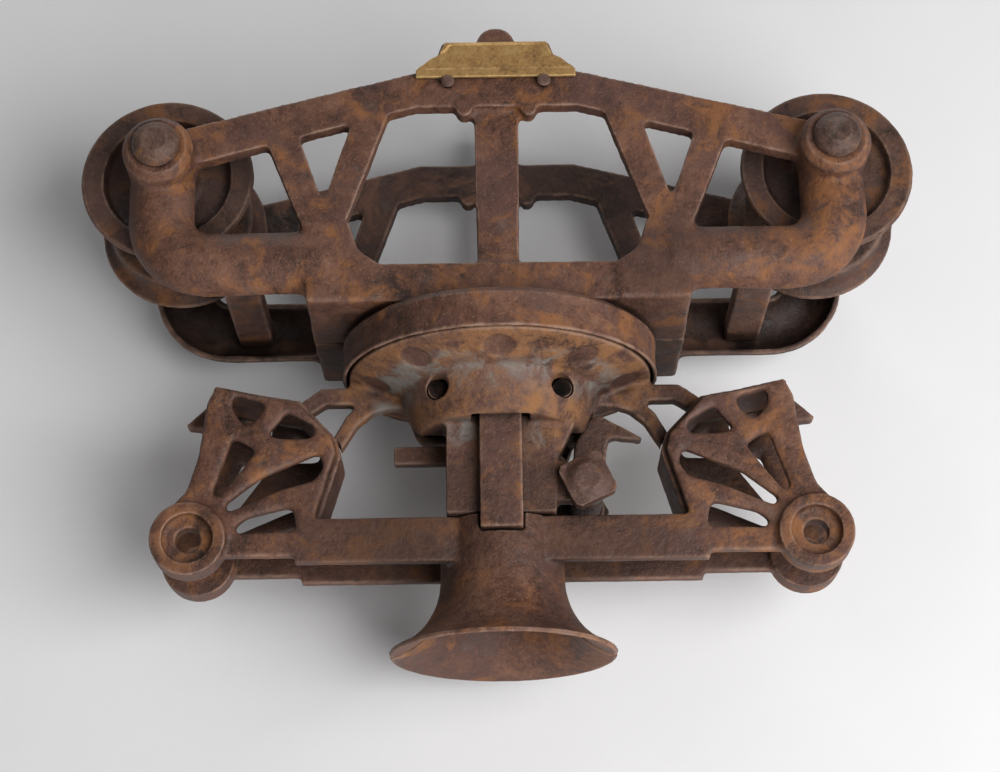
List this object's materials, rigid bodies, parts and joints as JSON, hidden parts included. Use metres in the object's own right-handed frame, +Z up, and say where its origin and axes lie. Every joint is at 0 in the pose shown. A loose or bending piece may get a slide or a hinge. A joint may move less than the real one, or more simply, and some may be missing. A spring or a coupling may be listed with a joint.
{
  "type": "hay trolley",
  "caption": "Cast iron hay trolley: a wheeled track carriage with a swivel head, rope guards, grip jaws and a flared bell that catches the fork pulley.",
  "frame": {"origin": "on the floor, under the middle of the trolley's box as it lies on its far side", "axes": "+X along the track, +Y the way up when the trolley hangs from its track, +Z up from the floor that it lies on, across the track"},
  "size_m": [0.577, 0.4286, 0.218],
  "materials": {
    "frame_iron": "rusty, matt",
    "swivel_iron": "rusty, with worn grey patches",
    "wheel_iron": "dark rust",
    "lever_iron": "dark rust",
    "bolt_iron": "rusty, worn on the edges",
    "brass_plate": "dull and stained"
  },
  "bodies": {
    "carriage": {"near_side_frame": "frame_iron", "far_side_frame": "frame_iron", "turntable_ring": "frame_iron", "frame_studs": "bolt_iron", "name_plate": "brass_plate", "name_plate_rivets": "bolt_iron", "left_cross_tie": "frame_iron", "right_cross_tie": "frame_iron", "tie_rivets": "bolt_iron", "near_left_axle": "bolt_iron", "near_right_axle": "bolt_iron", "far_left_axle": "bolt_iron", "far_right_axle": "bolt_iron", "axle_nuts": "bolt_iron"},
    "swivel": {"swivel_head": "swivel_iron", "throat": "swivel_iron", "near_left_guard": "swivel_iron", "near_right_guard": "swivel_iron", "far_left_guard": "swivel_iron", "far_right_guard": "swivel_iron", "left_guard_wall": "swivel_iron", "right_guard_wall": "swivel_iron", "king_collar": "bolt_iron", "collar_pin": "bolt_iron", "near_yoke": "swivel_iron", "far_yoke": "swivel_iron", "bell_dowels": "bolt_iron", "near_strap": "swivel_iron", "far_strap": "swivel_iron", "strap_rivets": "bolt_iron", "lever_bolt": "bolt_iron", "lever_nut": "bolt_iron", "left_jaw_pin": "bolt_iron", "right_jaw_pin": "bolt_iron"},
    "lever": {"lock_lever": "lever_iron"},
    "jaw_left": {"left_jaw": "lever_iron"},
    "jaw_right": {"right_jaw": "lever_iron"},
    "near_left_wheel_set": {"near_left_wheel": "wheel_iron", "near_left_bush": "bolt_iron"},
    "near_right_wheel_set": {"near_right_wheel": "wheel_iron", "near_right_bush": "bolt_iron"},
    "far_left_wheel_set": {"far_left_wheel": "wheel_iron", "far_left_bush": "bolt_iron"},
    "far_right_wheel_set": {"far_right_wheel": "wheel_iron", "far_right_bush": "bolt_iron"}
  },
  "joints": [
    {"name": "near_left_wheel_spin", "type": "hinge", "parent": "carriage", "child": "near_left_wheel_set", "pos_m": [-0.228, 0.11631, 0.143], "axis": [0, 0, 1], "continuous": true},
    {"name": "near_right_wheel_spin", "type": "hinge", "parent": "carriage", "child": "near_right_wheel_set", "pos_m": [0.228, 0.11631, 0.143], "axis": [0, 0, 1], "continuous": true},
    {"name": "far_left_wheel_spin", "type": "hinge", "parent": "carriage", "child": "far_left_wheel_set", "pos_m": [-0.228, 0.11631, 0.075], "axis": [0, 0, 1], "continuous": true},
    {"name": "far_right_wheel_spin", "type": "hinge", "parent": "carriage", "child": "far_right_wheel_set", "pos_m": [0.228, 0.11631, 0.075], "axis": [0, 0, 1], "continuous": true},
    {"name": "swivel_turn", "type": "hinge", "parent": "carriage", "child": "swivel", "pos_m": [0, -0.00069, 0.109], "axis": [0, 1, 0], "continuous": true},
    {"name": "lever_trip", "type": "hinge", "parent": "swivel", "child": "lever", "pos_m": [0.057, -0.10369, 0.109], "axis": [0, 0, 1], "range_deg": [-5, 0]},
    {"name": "left_jaw_open", "type": "hinge", "parent": "swivel", "child": "jaw_left", "pos_m": [-0.0415, -0.04069, 0.109], "axis": [0, 0, 1], "range_deg": [0, 30]},
    {"name": "right_jaw_open", "type": "hinge", "parent": "swivel", "child": "jaw_right", "pos_m": [0.0415, -0.04069, 0.109], "axis": [0, 0, 1], "range_deg": [-30, 0]}
  ],
  "couplings": [
    {"joint": "right_jaw_open", "follows": "left_jaw_open", "ratio": -1}
  ]
}
